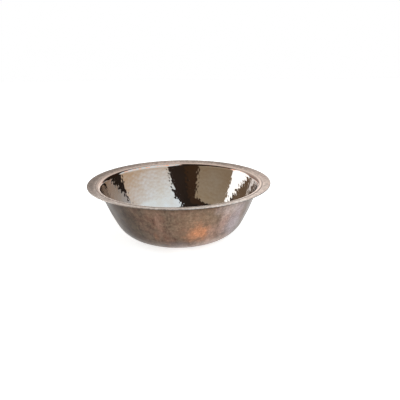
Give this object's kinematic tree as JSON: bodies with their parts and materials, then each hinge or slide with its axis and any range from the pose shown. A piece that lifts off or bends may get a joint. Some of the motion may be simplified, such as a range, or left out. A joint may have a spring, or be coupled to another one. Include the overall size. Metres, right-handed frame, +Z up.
{
  "type": "hammered bowl",
  "caption": "Round double-ply bowl with a flat rising rim, a smooth outer shell on a flat base and a hammered, bright-plated liner.",
  "frame": {"origin": "centre of the flat underside, on the surface that the bowl stands on", "axes": "+Z up along the bowl's axis of symmetry; X and Y are level and alike"},
  "size_m": [0.406, 0.406, 0.123],
  "materials": {
    "patinated_copper": "antiqued and brushed, streaked brown patina",
    "bright_plating": "hammered and polished",
    "satin_copper": "satin, lightly tarnished",
    "solder": "dull"
  },
  "bodies": {
    "root": {"outer_shell": "patinated_copper", "hammered_liner": "bright_plating", "rim_flange": "satin_copper", "rim_seam": "solder", "lip_seam": "solder"}
  },
  "joints": []
}
